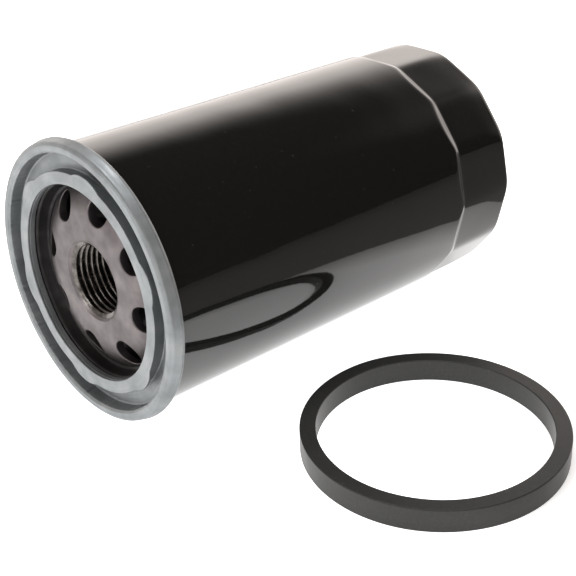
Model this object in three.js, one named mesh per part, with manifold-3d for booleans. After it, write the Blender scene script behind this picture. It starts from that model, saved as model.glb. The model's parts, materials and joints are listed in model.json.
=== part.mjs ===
// A spin-on oil filter lying on its side, with its square-cut sealing ring laid flat beside it.
// Millimetres, +Z up, the floor at z = 0. The filter's axis runs along +Y from its thread end to its
// closed end, and dips slightly, because the filter rests on its seam and on the can's wall.
// Inside the filter's own group, y is the depth behind the rim plane and the profiles are [radius, y].

import * as THREE from 'three';
import { mergeVertices } from 'three/addons/utils/BufferGeometryUtils.js';
import Module from 'manifold-3d';

const wasm = await Module();
wasm.setup();

// ---- driving dimensions ----

const GAP = 0.3;                     // between pieces that touch
const OVERSHOOT = 1;                 // how far a cutting form runs past what it cuts
const INCH = 25.4;

// can
const CAN_RADIUS = 44.8;
const CAN_LENGTH = 161;              // rim plane to closed end
const CAN_WALL = 0.6;
const FLAT_COUNT = 14;
const FLAT_DEPTH = 1.3;              // how far a flat's middle lies below the can's radius
const WRENCH_LENGTH = 26.3;          // closed end to the foot of the shoulder
const SHOULDER_SLOPE = 0.55;         // radial rise for each millimetre along the axis
const END_RADIUS = 2.5;

// rolled seam and lid
const LID_SHEET = 0.8;
const LID_CLEARANCE = 0.2;           // lid's wall inside the can
const CURL_LEAN = 0.2;               // how far the can's curled edge leans outwards
const CURL_CHAMFER = 0.4;
const SEAM_OVERHANG = 2.74;          // seam's widest radius beyond the can
const SEAM_WIDEST = 3.8;             // its depth
const SEAM_DEPTH = 4.8;
const SEAM_TOP_WIDTH = 1.7;          // flat front of the rolled edge
const SEAM_MOUTH_EDGE = 0.9;         // bevel from the groove's wall to the flat front
const SEAM_SHOULDER = 0.95;          // where the outer slope starts, inside the widest radius
const SEAM_BACK_EDGE = 0.5;
const COMPOUND_THICKNESS = 0.5;
const COMPOUND_WIDTH = 1.2;
const COMPOUND_INSET = 0.45;         // compound's inner edge inside the can's radius
const LIP_DEPTH = 1.0;               // the inner lip's face behind the rim plane
const LIP_WIDTH = 3.95;
const LIP_EDGE = 0.3;
const LIP_SKIRT = 2.9;               // depth of the lip's inner wall
const LUG_COUNT = 6;
const LUG_REACH = 1.9;               // how far a retaining lug stands over the groove
const LUG_RADIUS = 12;
const LUG_PHASE = 20;                // degrees from +X towards +Z

// sealing ring and its groove
const GROOVE_DEPTH = 5.0;            // groove floor behind the rim plane
const GROOVE_DRAFT = 0.3;
const GASKET_WIDTH = 5.3;
const GASKET_HEIGHT = 8;
const GASKET_ASIDE = 2.86;           // space left between the seam and the ring, seen from above
const GASKET_ALONG = 64.5;           // ring's centre behind the rim plane

// base plate
const PLATE_THICKNESS = 3;
const PLATE_CLEARANCE = 0.8;         // plate's edge inside the can
const SHELF_EDGE = 0.4;
const FLANGE_ROOT = 1;               // back of the flange turns this far outside the lip
const CROWN_DEPTH = 4.2;             // raised centre behind the rim plane
const CROWN_FLANK = 10.75;           // width of the flank that falls away to the channel
const CHANNEL_DROP = 4.4;            // from the crown to the channel round it
const CHANNEL_INSET = 2.3;           // channel's outer radius inside the lip
const CHANNEL_WIDTH = 1.0;
const CHANNEL_BACK = 2;              // back of the channel is this much wider than its front
const HOLE_COUNT = 8;
const HOLE_RADIUS = 4.6;
const HOLE_MARGIN = 0.5;             // holes inside the channel
const HOLE_PHASE = 33.9;             // degrees from +X towards +Z
const THREAD_DIAMETER = 1 * INCH;    // 1 in - 12 unified fine thread
const THREAD_PITCH = INCH / 12;
const THREAD_ENGAGEMENT = 0.54;      // depth of the thread, in pitches
const THREAD_ANGLE = 60;             // degrees between its flanks
const THREAD_RELIEF = 0.3;           // chamfer's foot outside the thread
const THREAD_CHAMFER = 0.9;
const NECK_WALL = 2.6;
const NECK_LENGTH = 15.8;            // crown to the neck's inner end

// anti-drain-back valve
const FLAP_THICKNESS = 1.3;
const FLAP_RISE = 2.2;               // how far the flap is dished towards the plate
const FLAP_OVERLAP = 2.4;            // flap's rim beyond the inlet holes
const FLAP_ROOT = 3.8;               // width of the clamped root
const FLAP_EDGE = 1;                 // flat at the rim and step at the root
const ROOT_BEAD = 0.9;               // how far the root stands behind the flap

// filter element
const ELEMENT_CLEARANCE = 2.9;       // oil's way in, between the end caps and the wrench flats
const CAP_SHEET = 0.6;
const CAP_SKIRT = 5;
const CAP_CLEARANCE = 0.5;           // top cap round the neck
const POTTING_THICKNESS = 1.8;
const TUBE_CLEARANCE = 2.3;          // tube's bore round the neck
const TUBE_WALL = 0.6;
const TUBE_HOLE_RADIUS = 2.4;
const TUBE_HOLE_ROWS = 3;
const TUBE_HOLE_PAIRS = 3;           // pairs of opposite holes in a row
const PLEAT_COUNT = 40;
const PLEAT_SHIFT = 3.9;             // radial thickness of the folded sheet
const MEDIA_MARGIN = 0.2;            // pleats inside the potting, and outside the tube's gap
const CLIP_WIDTH = 2.4;
const CLIP_HEIGHT = 3.6;
const CLIP_SHEET = 0.5;
const CLIP_INSET = 2;                // clip's outer face inside the pleat tips

// bypass valve in the element's closed end
const SEAT_ORIFICE = 8;
const SEAT_SHEET = 0.8;
const SEAT_CLEARANCE = 0.4;          // seat's edge inside the tube
const VALVE_RADIUS = 10.5;
const FACING_THICKNESS = 1.5;
const POPPET_SHEET = 0.8;
const RIVET_RADIUS = 1.7;
const RIVET_HEAD_RADIUS = 3.4;
const RIVET_HEAD = 0.7;
const VALVE_SPRING_RADIUS = 7;
const VALVE_SPRING_WIRE = 1.2;
const VALVE_SPRING_HEIGHT = 14;
const VALVE_SPRING_TURNS = 5.5;
const CAGE_SHEET = 0.8;
const CAGE_FLOOR = 3;                // the floor that carries the spring, inside the orifice
const CAGE_CLEARANCE = 0.5;          // cage wall round the valve disc
const CAGE_WINDOW_WIDTH = 8;
const CAGE_BAND = 2.5;               // solid band at each end of the windows
const CAP_HOLE_MARGIN = 2.5;         // hole in the bottom cap round the orifice
const CUP_HOLE_MARGIN = 3;           // hole in the spring cup round the orifice

// hold-down spring
const SPRING_SPACE = 19;             // bottom end cap to the can's end wall
const SPRING_RADIUS = 21;
const SPRING_WIRE = 2.4;
const SPRING_TURNS = 3.5;
const CUP_SHEET = 0.8;
const CUP_RIM = 2.2;
const CUP_CLEARANCE = 0.8;           // cup's rim round the spring

// facets round each turned piece
const FACETS_OUTER = 56;
const FACETS_PLATE = 40;
const FACETS_INNER = 36;
const FACETS_SMALL = 24;
const END_STEPS = 3;                 // along the can's end radius
const FLANK_STEPS = 4;               // along the crown's flank

// ---- what follows from them ----

const flatApothem = CAN_RADIUS - FLAT_DEPTH;
const shoulderFoot = CAN_LENGTH - WRENCH_LENGTH;
const seamRadius = CAN_RADIUS + SEAM_OVERHANG;
const grooveMouth = CAN_RADIUS - CAN_WALL - LID_CLEARANCE - LID_SHEET;
const grooveFloorRadius = grooveMouth - GROOVE_DRAFT;
const gasketRadius = grooveFloorRadius - GAP;
const gasketBore = gasketRadius - GASKET_WIDTH;
const lipOuter = gasketBore - GAP;
const lipInner = lipOuter - LIP_WIDTH;
const gasketSide = seamRadius + GASKET_ASIDE + gasketRadius;

const plateRadius = CAN_RADIUS - CAN_WALL - PLATE_CLEARANCE;
const flangeTop = GROOVE_DEPTH + LID_SHEET + GAP;
const shelfTop = LIP_DEPTH + LIP_SKIRT + GAP;
const channelOuter = lipInner - CHANNEL_INSET + CHANNEL_WIDTH;
const channelInner = channelOuter - CHANNEL_WIDTH;
const channelDepth = CROWN_DEPTH + CHANNEL_DROP;
const crownFlat = channelInner - CROWN_FLANK;
const holeCircle = channelInner - HOLE_RADIUS - HOLE_MARGIN;
const threadRadius = THREAD_DIAMETER / 2;
const threadMinor = threadRadius - THREAD_ENGAGEMENT * THREAD_PITCH;
const neckRadius = threadRadius + NECK_WALL;
const neckEnd = CROWN_DEPTH + NECK_LENGTH;

const flapRim = channelDepth + PLATE_THICKNESS + GAP;
const flapRadius = holeCircle + HOLE_RADIUS + FLAP_OVERLAP;
const rootInner = neckRadius + GAP;
const rootOuter = rootInner + FLAP_ROOT;
const rootEnd = flapRim + FLAP_RISE + FLAP_THICKNESS + ROOT_BEAD;

const elementStart = rootEnd + GAP;
const elementEnd = CAN_LENGTH - CAN_WALL - SPRING_SPACE;
const elementRadius = flatApothem - CAN_WALL - ELEMENT_CLEARANCE;
const pottingRadius = elementRadius - CAP_SHEET - GAP;
const tubeBore = neckRadius + TUBE_CLEARANCE;
const tubeRadius = tubeBore + TUBE_WALL;
const tubeStart = elementStart + CAP_SHEET + GAP;
const tubeEnd = elementEnd - CAP_SHEET - GAP;
const mediaStart = tubeStart + POTTING_THICKNESS + GAP;
const mediaEnd = tubeEnd - POTTING_THICKNESS - GAP;
const mediaRadius = pottingRadius - MEDIA_MARGIN;
const mediaBore = tubeRadius + GAP + MEDIA_MARGIN;
const pleatRoot = mediaBore + PLEAT_SHIFT;

const seatStart = tubeEnd - SEAT_SHEET;
const facingStart = seatStart - GAP - FACING_THICKNESS;
const poppetStart = facingStart - GAP - POPPET_SHEET;
const rivetStart = poppetStart - GAP - RIVET_HEAD;
const rivetEnd = seatStart + RIVET_HEAD;
const valveSpringEnd = poppetStart - GAP;
const valveSpringStart = valveSpringEnd - VALVE_SPRING_HEIGHT;
const cageStart = valveSpringStart - GAP - CAGE_SHEET;
const cageEnd = seatStart - GAP;
const cageBore = VALVE_RADIUS + CAGE_CLEARANCE;
const cageRadius = cageBore + CAGE_SHEET;
const seatRadius = tubeBore - SEAT_CLEARANCE;

const cupStart = elementEnd + GAP;
const springStart = cupStart + CUP_SHEET + GAP;
const springEnd = CAN_LENGTH - CAN_WALL - GAP;
const cupBore = SPRING_RADIUS + SPRING_WIRE / 2 + CUP_CLEARANCE;

// ---- turned, coiled and cut shapes ----

const degrees = THREE.MathUtils.degToRad;

// A profile turned about the axis. It closes on itself, or runs from the axis to the axis.
// One facet is centred on the underside.
function turned(profile, facets) {
  const points = profile.map(([radius, y]) => new THREE.Vector2(radius, y));
  if (THREE.ShapeUtils.area(points) < 0) points.reverse();
  if (points[0].x > 0) points.push(points[0].clone());
  return new THREE.LatheGeometry(points, facets, Math.PI / facets);
}

// A plain ring of rectangular section.
function ring(inner, outer, start, end, facets) {
  return turned([[inner, start], [outer, start], [outer, end], [inner, end]], facets);
}

// A rod along the axis direction, moved to x and z.
function rod(radius, start, end, facets, x = 0, z = 0) {
  return new THREE.CylinderGeometry(radius, radius, end - start, facets).translate(x, (start + end) / 2, z);
}

// A coil about the axis, right-handed, whose height follows rise(t). Its frames point straight out
// from the axis, so a section swept along it never twists.
class Coil extends THREE.Curve {
  constructor(radius, turns, rise) {
    super();
    this.radius = radius;
    this.turns = turns;
    this.rise = rise;
  }

  getPoint(t, target = new THREE.Vector3()) {
    const angle = 2 * Math.PI * this.turns * t;
    return target.set(this.radius * Math.sin(angle), this.rise(t), this.radius * Math.cos(angle));
  }

  computeFrenetFrames(steps) {
    const frames = { tangents: [], normals: [], binormals: [] };
    for (let i = 0; i <= steps; i++) {
      const angle = 2 * Math.PI * this.turns * this.getUtoTmapping(i / steps);
      frames.tangents.push(new THREE.Vector3(Math.cos(angle), 0, -Math.sin(angle)));
      frames.normals.push(new THREE.Vector3(Math.sin(angle), 0, Math.cos(angle)));
      frames.binormals.push(new THREE.Vector3(0, -1, 0));
    }
    return frames;
  }
}

// A section swept along a coil.
function swept(section, coil, stepsPerTurn) {
  const steps = Math.round(coil.turns * stepsPerTurn);
  return new THREE.ExtrudeGeometry(section, { steps, curveSegments: 6, extrudePath: coil });
}

// A compression spring of the given height over its wire, with one closed turn at each end.
function spring(radius, wire, start, height, turns, sides, stepsPerTurn) {
  const foot = start + wire / 2;
  const travel = height - wire;
  const dead = Math.min(wire + GAP, travel / turns);
  const rise = (t) => {
    const turn = t * turns;
    if (turn < 1) return foot + turn * dead;
    if (turn > turns - 1) return foot + travel - (turns - turn) * dead;
    return foot + dead + ((turn - 1) / (turns - 2)) * (travel - 2 * dead);
  };
  const section = new THREE.Shape();
  for (let i = 0; i < sides; i++) {
    const angle = (2 * Math.PI * i) / sides;
    const x = (wire / 2) * Math.cos(angle);
    const y = (wire / 2) * Math.sin(angle);
    if (i === 0) section.moveTo(x, y);
    else section.lineTo(x, y);
  }
  return swept(section, new Coil(radius, turns, rise), stepsPerTurn);
}

// Turns a closed mesh into a solid that can be cut and joined, and back.
function solid(geometry) {
  const bare = geometry.clone();
  bare.deleteAttribute('normal');
  bare.deleteAttribute('uv');
  const merged = mergeVertices(bare, 1e-4);
  const corners = merged.index.array;
  const triangles = [];
  for (let i = 0; i < corners.length; i += 3) {
    const [a, b, c] = [corners[i], corners[i + 1], corners[i + 2]];
    if (a !== b && b !== c && c !== a) triangles.push(a, b, c);
  }
  const vertProperties = merged.attributes.position.array;
  const triVerts = Uint32Array.from(triangles);
  return new wasm.Manifold(new wasm.Mesh({ numProp: 3, vertProperties, triVerts }));
}

function geometryOf(manifold) {
  const { vertProperties, triVerts } = manifold.getMesh();
  const geometry = new THREE.BufferGeometry();
  geometry.setAttribute('position', new THREE.BufferAttribute(new Float32Array(vertProperties), 3));
  geometry.setIndex(new THREE.BufferAttribute(new Uint32Array(triVerts), 1));
  geometry.computeVertexNormals();
  return geometry;
}

function joined(geometries) {
  return geometries.map(solid).reduce((whole, piece) => whole.add(piece));
}

// The place at a radius and an angle, measured from +X towards +Z.
function polar(radius, angle) {
  return { x: radius * Math.cos(degrees(angle)), z: radius * Math.sin(degrees(angle)) };
}

// ---- can ----

// A fourteen-sided shell: a wrench section of the given apothem, opening out past the shoulder.
function wrenchForm(apothem, foot, end, cornerRadius) {
  const corner = apothem / Math.cos(Math.PI / FLAT_COUNT);
  const spread = FLAT_DEPTH + 2 * SEAM_OVERHANG;
  const profile = [
    [0, -OVERSHOOT],
    [corner + spread, -OVERSHOOT],
    [corner + spread, foot - spread / SHOULDER_SLOPE],
    [corner, foot],
  ];
  for (let i = 0; i <= END_STEPS; i++) {
    const angle = (i / END_STEPS) * (Math.PI / 2);
    const radius = corner - cornerRadius * (1 - Math.cos(angle));
    profile.push([radius, end - cornerRadius * (1 - Math.sin(angle))]);
  }
  profile.push([0, end]);
  return turned(profile, FLAT_COUNT);
}

function canGeometry() {
  const curlTop = LID_SHEET + COMPOUND_THICKNESS + 2 * GAP;
  const curlEnd = SEAM_DEPTH - LID_SHEET - GAP;
  const curlEdge = CAN_RADIUS + SEAM_OVERHANG / 2;
  const past = CAN_LENGTH + OVERSHOOT;
  const outside = turned([
    [0, curlTop],
    [curlEdge - CURL_LEAN - CURL_CHAMFER, curlTop],
    [curlEdge - CURL_LEAN, curlTop + CURL_CHAMFER],
    [curlEdge, curlEnd],
    [curlEdge - CAN_WALL, curlEnd],
    [curlEdge - CURL_LEAN - CAN_WALL, curlTop + CAN_WALL],
    [CAN_RADIUS, curlTop + CAN_WALL],
    [CAN_RADIUS, past],
    [0, past],
  ], FACETS_OUTER);
  const bore = CAN_RADIUS - CAN_WALL;
  const inside = turned([[0, -OVERSHOOT], [bore, -OVERSHOOT], [bore, past], [0, past]], FACETS_OUTER);
  const outerForm = wrenchForm(flatApothem, shoulderFoot, CAN_LENGTH, END_RADIUS);
  const innerForm = wrenchForm(
    flatApothem - CAN_WALL, shoulderFoot - CAN_WALL / 4, CAN_LENGTH - CAN_WALL, END_RADIUS - CAN_WALL);
  const shell = solid(outside).intersect(solid(outerForm));
  const hollow = solid(inside).intersect(solid(innerForm));
  return geometryOf(shell.subtract(hollow));
}

// ---- lid, seam compound, gasket ----

function lidGeometry() {
  const skirtEnd = LIP_DEPTH + LIP_SKIRT;
  const shoulder = seamRadius - SEAM_SHOULDER;
  const flatStart = grooveMouth + SEAM_MOUTH_EDGE;
  const hook = CAN_RADIUS + GAP;
  const sheet = turned([
    [lipInner, skirtEnd],
    [lipInner, LIP_DEPTH + LIP_EDGE],
    [lipInner + LIP_EDGE, LIP_DEPTH],
    [lipOuter - LIP_EDGE, LIP_DEPTH],
    [lipOuter, LIP_DEPTH + LIP_EDGE],
    [lipOuter, GROOVE_DEPTH],
    [grooveFloorRadius, GROOVE_DEPTH],
    [grooveMouth, SEAM_MOUTH_EDGE],
    [flatStart, 0],
    [flatStart + SEAM_TOP_WIDTH, 0],
    [shoulder, SEAM_SHOULDER / 2],
    [seamRadius, SEAM_WIDEST],
    [seamRadius - SEAM_BACK_EDGE, SEAM_DEPTH],
    [hook, SEAM_DEPTH],
    [hook, SEAM_DEPTH - LID_SHEET],
    [shoulder, SEAM_DEPTH - LID_SHEET],
    [shoulder - LID_SHEET, LID_SHEET],
    [grooveMouth + LID_SHEET, LID_SHEET],
    [grooveFloorRadius + LID_SHEET, GROOVE_DEPTH + LID_SHEET],
    [lipOuter - LID_SHEET, GROOVE_DEPTH + LID_SHEET],
    [lipOuter - LID_SHEET, LIP_DEPTH + LID_SHEET],
    [lipInner + LID_SHEET, LIP_DEPTH + LID_SHEET],
    [lipInner + LID_SHEET, skirtEnd],
  ], FACETS_OUTER);
  const lugs = [];
  for (let i = 0; i < LUG_COUNT; i++) {
    const { x, z } = polar(lipOuter + LUG_REACH - LUG_RADIUS, LUG_PHASE + (i * 360) / LUG_COUNT);
    lugs.push(rod(LUG_RADIUS, LIP_DEPTH, LIP_DEPTH + LID_SHEET, FACETS_SMALL, x, z));
  }
  const lugEnd = lipOuter + LUG_REACH + OVERSHOOT;
  const lugRing = ring(lipOuter - LID_SHEET, lugEnd, LIP_DEPTH, GROOVE_DEPTH, FACETS_OUTER);
  return geometryOf(solid(sheet).add(joined(lugs).intersect(solid(lugRing))));
}

function compoundGeometry() {
  const start = LID_SHEET + GAP;
  const inner = CAN_RADIUS - COMPOUND_INSET;
  return ring(inner, inner + COMPOUND_WIDTH, start, start + COMPOUND_THICKNESS, FACETS_OUTER);
}

function gasketGeometry() {
  return ring(gasketBore, gasketRadius, -GASKET_HEIGHT / 2, GASKET_HEIGHT / 2, FACETS_OUTER);
}

// ---- base plate ----

// The crown falls away to the channel as a parabola, from its flat middle.
function crownDrop(radius) {
  const share = Math.max(0, radius - crownFlat) / CROWN_FLANK;
  return CHANNEL_DROP * share * share;
}

function plateGeometry() {
  const flank = (offset) => {
    const points = [];
    for (let i = 0; i <= FLANK_STEPS; i++) {
      const radius = crownFlat + (i / FLANK_STEPS) * CROWN_FLANK;
      points.push([radius, CROWN_DEPTH + offset + crownDrop(radius)]);
    }
    return points;
  };
  const mouth = threadRadius + THREAD_RELIEF;
  const backRing = lipOuter - LID_SHEET - GAP;
  const flangeBack = flangeTop + PLATE_THICKNESS;
  const plate = turned([
    [mouth, CROWN_DEPTH + THREAD_CHAMFER],
    [mouth + THREAD_CHAMFER, CROWN_DEPTH],
    ...flank(0),
    [channelOuter, channelDepth],
    [lipInner - SHELF_EDGE, shelfTop + SHELF_EDGE],
    [lipInner, shelfTop],
    [backRing - GAP, shelfTop],
    [backRing, flangeTop],
    [plateRadius, flangeTop],
    [plateRadius, flangeBack],
    [lipOuter + FLANGE_ROOT, flangeBack],
    [channelOuter + CHANNEL_BACK, channelDepth + PLATE_THICKNESS],
    ...flank(PLATE_THICKNESS).reverse(),
    [neckRadius, CROWN_DEPTH + PLATE_THICKNESS],
    [neckRadius, neckEnd],
    [threadMinor, neckEnd],
    [threadMinor, CROWN_DEPTH + THREAD_CHAMFER + mouth - threadMinor],
  ], FACETS_PLATE);
  const holes = [];
  for (let i = 0; i < HOLE_COUNT; i++) {
    const { x, z } = polar(holeCircle, HOLE_PHASE + (i * 360) / HOLE_COUNT);
    holes.push(rod(HOLE_RADIUS, 0, channelDepth + 2 * PLATE_THICKNESS, 12, x, z));
  }
  return geometryOf(solid(plate).subtract(joined([...holes, threadCutter()])));
}

// The female thread's groove: a 60 degree section swept right through the neck.
function threadCutter() {
  const turns = Math.ceil(NECK_LENGTH / THREAD_PITCH) + 2;
  const start = CROWN_DEPTH - THREAD_PITCH;
  const inner = threadMinor - THREAD_RELIEF;
  const halfRoot = THREAD_PITCH / 16;
  const halfMouth = halfRoot + (threadRadius - inner) * Math.tan(degrees(THREAD_ANGLE / 2));
  const section = new THREE.Shape([
    new THREE.Vector2(0, -halfMouth),
    new THREE.Vector2(threadRadius - inner, -halfRoot),
    new THREE.Vector2(threadRadius - inner, halfRoot),
    new THREE.Vector2(0, halfMouth),
  ]);
  const coil = new Coil(inner, turns, (t) => start + t * turns * THREAD_PITCH);
  return swept(section, coil, 14);
}

// ---- anti-drain-back valve ----

function flapGeometry() {
  const flapAtRoot = flapRim + FLAP_RISE;
  const rootFront = CROWN_DEPTH + PLATE_THICKNESS + GAP;
  return turned([
    [rootInner, rootFront],
    [rootOuter - FLAP_EDGE, rootFront],
    [rootOuter - FLAP_EDGE, flapAtRoot - FLAP_EDGE],
    [rootOuter, flapAtRoot],
    [flapRadius - FLAP_EDGE, flapRim],
    [flapRadius, flapRim],
    [flapRadius, flapRim + FLAP_THICKNESS],
    [flapRadius - FLAP_EDGE, flapRim + FLAP_THICKNESS],
    [rootOuter, flapAtRoot + FLAP_THICKNESS],
    [rootOuter, rootEnd],
    [rootInner, rootEnd],
  ], FACETS_INNER);
}

// ---- filter element ----

// An end cap: a disc with a skirt, its outer face at y = 0 and its skirt towards +y.
function endCapGeometry(bore) {
  return turned([
    [bore, 0],
    [elementRadius, 0],
    [elementRadius, CAP_SKIRT],
    [elementRadius - CAP_SHEET, CAP_SKIRT],
    [elementRadius - CAP_SHEET, CAP_SHEET],
    [bore, CAP_SHEET],
  ], FACETS_INNER);
}

function pottingGeometry() {
  return ring(tubeRadius + GAP, pottingRadius, 0, POTTING_THICKNESS, FACETS_INNER);
}

function tubeGeometry() {
  const length = tubeEnd - tubeStart;
  const tube = ring(tubeBore, tubeRadius, 0, length, FACETS_INNER);
  const holes = [];
  for (let row = 0; row < TUBE_HOLE_ROWS; row++) {
    for (let i = 0; i < TUBE_HOLE_PAIRS; i++) {
      const hole = new THREE.CylinderGeometry(TUBE_HOLE_RADIUS, TUBE_HOLE_RADIUS, 3 * tubeRadius, 6);
      hole.rotateZ(Math.PI / 2);
      hole.rotateY(((i + (row % 2) / 2) * Math.PI) / TUBE_HOLE_PAIRS);
      hole.translate(0, (length * (row + 1)) / (TUBE_HOLE_ROWS + 1.5), 0);
      holes.push(hole);
    }
  }
  return geometryOf(solid(tube).subtract(joined(holes)));
}

// The folded sheet: a zigzag outline, and the same outline shifted inwards.
function pleatOutline(tip, root) {
  const points = [];
  for (let i = 0; i < 2 * PLEAT_COUNT; i++) {
    const radius = i % 2 ? root : tip;
    const angle = (Math.PI * i) / PLEAT_COUNT;
    points.push(new THREE.Vector2(radius * Math.cos(angle), radius * Math.sin(angle)));
  }
  return points;
}

function mediaGeometry() {
  const sheet = new THREE.Shape(pleatOutline(mediaRadius, pleatRoot));
  sheet.holes.push(new THREE.Path(pleatOutline(mediaRadius - PLEAT_SHIFT, mediaBore)));
  const depth = mediaEnd - mediaStart;
  return new THREE.ExtrudeGeometry(sheet, { depth, bevelEnabled: false }).rotateX(-Math.PI / 2);
}

// A folded strip that sits in one outer valley of the pleats.
function clipGeometry() {
  const outer = mediaRadius - CLIP_INSET;
  const inner = outer - CLIP_HEIGHT;
  const half = CLIP_WIDTH / 2;
  const section = new THREE.Shape([
    new THREE.Vector2(inner, -half),
    new THREE.Vector2(outer, -half),
    new THREE.Vector2(outer, half),
    new THREE.Vector2(inner, half),
    new THREE.Vector2(inner, half - CLIP_SHEET),
    new THREE.Vector2(outer - CLIP_SHEET, half - CLIP_SHEET),
    new THREE.Vector2(outer - CLIP_SHEET, CLIP_SHEET - half),
    new THREE.Vector2(inner, CLIP_SHEET - half),
  ]);
  const depth = mediaEnd - mediaStart;
  const clip = new THREE.ExtrudeGeometry(section, { depth, bevelEnabled: false });
  return clip.rotateX(-Math.PI / 2).rotateY(Math.PI / PLEAT_COUNT);
}

// ---- bypass valve ----

function seatGeometry() {
  return ring(SEAT_ORIFICE, seatRadius, 0, SEAT_SHEET, FACETS_SMALL);
}

function facingGeometry() {
  return ring(RIVET_RADIUS + GAP, VALVE_RADIUS, 0, FACING_THICKNESS, FACETS_SMALL);
}

function poppetGeometry() {
  return ring(RIVET_RADIUS + GAP, VALVE_RADIUS, 0, POPPET_SHEET, FACETS_SMALL);
}

function rivetGeometry() {
  const length = rivetEnd - rivetStart;
  return turned([
    [0, 0],
    [RIVET_HEAD_RADIUS, 0],
    [RIVET_HEAD_RADIUS, RIVET_HEAD],
    [RIVET_RADIUS, RIVET_HEAD],
    [RIVET_RADIUS, length - RIVET_HEAD + GAP],
    [RIVET_HEAD_RADIUS, length - RIVET_HEAD + GAP],
    [RIVET_HEAD_RADIUS, length + GAP],
    [0, length + GAP],
  ], 12);
}

function cageGeometry() {
  const length = cageEnd - cageStart;
  const floorHole = SEAT_ORIFICE - CAGE_FLOOR;
  const cup = turned([
    [floorHole, 0],
    [cageRadius, 0],
    [cageRadius, length - CAGE_SHEET],
    [seatRadius, length - CAGE_SHEET],
    [seatRadius, length],
    [cageBore, length],
    [cageBore, CAGE_SHEET],
    [floorHole, CAGE_SHEET],
  ], FACETS_SMALL);
  const window = length - 2 * CAGE_BAND;
  const across = new THREE.BoxGeometry(4 * cageRadius, window, CAGE_WINDOW_WIDTH).translate(0, length / 2, 0);
  const along = across.clone().rotateY(Math.PI / 2);
  return geometryOf(solid(cup).subtract(joined([across, along])));
}

function valveSpringGeometry() {
  return spring(VALVE_SPRING_RADIUS, VALVE_SPRING_WIRE, 0, VALVE_SPRING_HEIGHT, VALVE_SPRING_TURNS, 5, 12);
}

// ---- hold-down spring and its cup ----

function cupGeometry() {
  const bore = SEAT_ORIFICE + CUP_HOLE_MARGIN;
  return turned([
    [bore, 0],
    [cupBore + CUP_SHEET, 0],
    [cupBore + CUP_SHEET, CUP_SHEET + CUP_RIM],
    [cupBore, CUP_SHEET + CUP_RIM],
    [cupBore, CUP_SHEET],
    [bore, CUP_SHEET],
  ], FACETS_INNER);
}

function holdDownGeometry() {
  return spring(SPRING_RADIUS, SPRING_WIRE, 0, springEnd - springStart, SPRING_TURNS, 6, 16);
}

// ---- finishes ----

function finish(color, roughness, metalness) {
  return new THREE.MeshStandardMaterial({ color, roughness, metalness });
}

const enamel = () => finish(0x141413, 0.12, 0);
const zincPlate = () => finish(0xb4b9bc, 0.35, 1);
const darkSteel = () => finish(0x6e6868, 0.45, 0.9);
const tinPlate = () => finish(0xc2c0ba, 0.3, 1);
const springSteel = () => finish(0x8c8f92, 0.35, 1);
const rubber = (color) => finish(color, 0.75, 0);
const paper = () => finish(0xd9b36a, 0.9, 0);
const plastisol = () => finish(0x8f3b2b, 0.6, 0);

// ---- assembly ----

// Adds a piece to a group, at its depth along the axis.
function put(group, name, geometry, material, depth = 0) {
  const mesh = new THREE.Mesh(geometry, material);
  mesh.name = name;
  mesh.position.y = depth;
  group.add(mesh);
  return mesh;
}

function buildElement() {
  const element = new THREE.Group();
  const topCap = endCapGeometry(neckRadius + CAP_CLEARANCE);
  const bottomCap = endCapGeometry(SEAT_ORIFICE + CAP_HOLE_MARGIN);
  put(element, 'top_end_cap', topCap, tinPlate(), elementStart);
  put(element, 'top_potting', pottingGeometry(), plastisol(), tubeStart);
  put(element, 'center_tube', tubeGeometry(), tinPlate(), tubeStart);
  put(element, 'pleated_media', mediaGeometry(), paper(), mediaStart);
  put(element, 'media_seam_clip', clipGeometry(), tinPlate(), mediaStart);
  put(element, 'bottom_potting', pottingGeometry(), plastisol(), tubeEnd - POTTING_THICKNESS);
  put(element, 'bottom_end_cap', bottomCap, tinPlate(), elementEnd).rotation.x = Math.PI;
  put(element, 'bypass_seat', seatGeometry(), tinPlate(), seatStart);
  put(element, 'bypass_cage', cageGeometry(), tinPlate(), cageStart);
  put(element, 'bypass_spring', valveSpringGeometry(), springSteel(), valveSpringStart);
  put(element, 'spring_cup', cupGeometry(), tinPlate(), cupStart);
  return element;
}

function buildBypassPoppet() {
  const poppet = new THREE.Group();
  put(poppet, 'bypass_poppet', poppetGeometry(), tinPlate(), poppetStart);
  put(poppet, 'bypass_facing', facingGeometry(), rubber(0x2a2a29), facingStart);
  put(poppet, 'bypass_rivet', rivetGeometry(), springSteel(), rivetStart);
  return poppet;
}

function buildFilter() {
  const filter = new THREE.Group();
  put(filter, 'can', canGeometry(), enamel());
  put(filter, 'seaming_lid', lidGeometry(), zincPlate());
  put(filter, 'seam_compound', compoundGeometry(), rubber(0x3b5a3a));
  put(filter, 'base_plate', plateGeometry(), darkSteel());
  put(filter, 'anti_drain_valve', flapGeometry(), rubber(0x1f1f1e));
  put(filter, 'hold_down_spring', holdDownGeometry(), springSteel(), springStart);
  filter.add(buildElement(), buildBypassPoppet());
  return filter;
}

// The filter leans on its seam and on the can's lowest line, which it meets at the shoulder or at the
// far edge of the lowest flat, whichever comes first.
function restOnFloor(filter) {
  const facet = Math.cos(Math.PI / FACETS_OUTER);
  const seamDrop = seamRadius * facet;
  const wallDrop = CAN_RADIUS * facet;
  const wallEnd = shoulderFoot - (wallDrop - flatApothem) / (SHOULDER_SLOPE * Math.cos(Math.PI / FLAT_COUNT));
  const atShoulder = Math.atan((seamDrop - wallDrop) / (wallEnd - SEAM_WIDEST));
  const atEnd = Math.atan((seamDrop - flatApothem) / (CAN_LENGTH - END_RADIUS - SEAM_WIDEST));
  const tilt = Math.min(atShoulder, atEnd);
  filter.rotation.x = -tilt;
  filter.position.z = seamDrop * Math.cos(tilt) + SEAM_WIDEST * Math.sin(tilt);
}

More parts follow.
